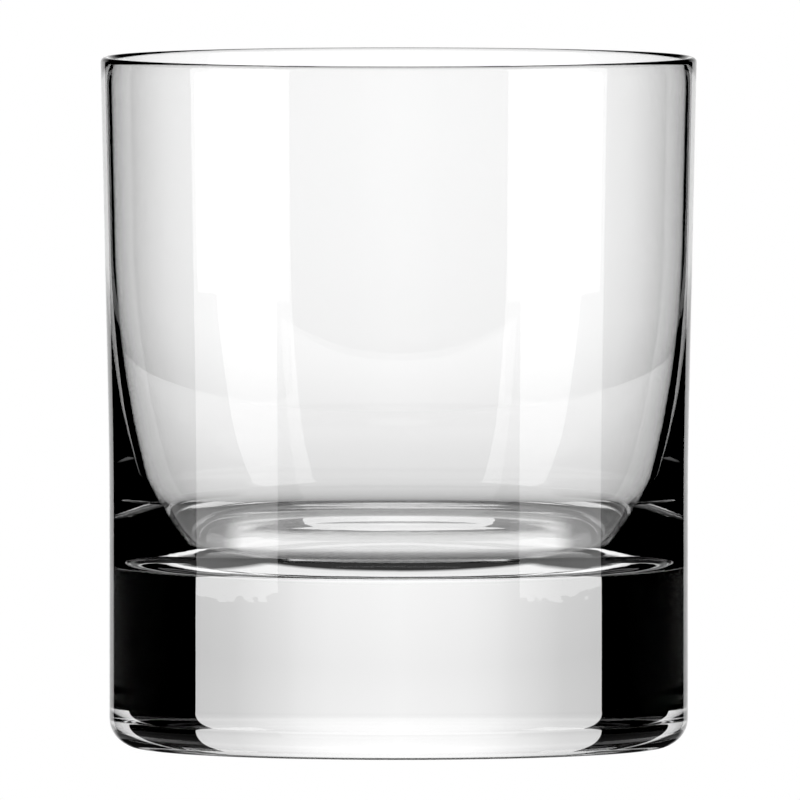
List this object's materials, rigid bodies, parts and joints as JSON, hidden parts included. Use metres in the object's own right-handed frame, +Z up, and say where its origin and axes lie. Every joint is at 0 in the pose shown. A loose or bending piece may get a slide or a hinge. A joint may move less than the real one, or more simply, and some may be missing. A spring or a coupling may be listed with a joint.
{
  "type": "whiskey tumbler",
  "caption": "Clear glass whiskey tumbler: straight round body flaring slightly to a thin lip, rounded bowl on a thick solid base.",
  "frame": {"origin": "centre of the foot, on the plane the glass stands on", "axes": "+Z up along the axis of revolution, towards the lip; +X and +Y are equivalent"},
  "size_m": [0.086, 0.086, 0.0996],
  "materials": {
    "clear_glass": "clear colourless soda-lime glass, fire-polished"
  },
  "bodies": {
    "root": {"tumbler_glass": "clear_glass"}
  },
  "joints": []
}
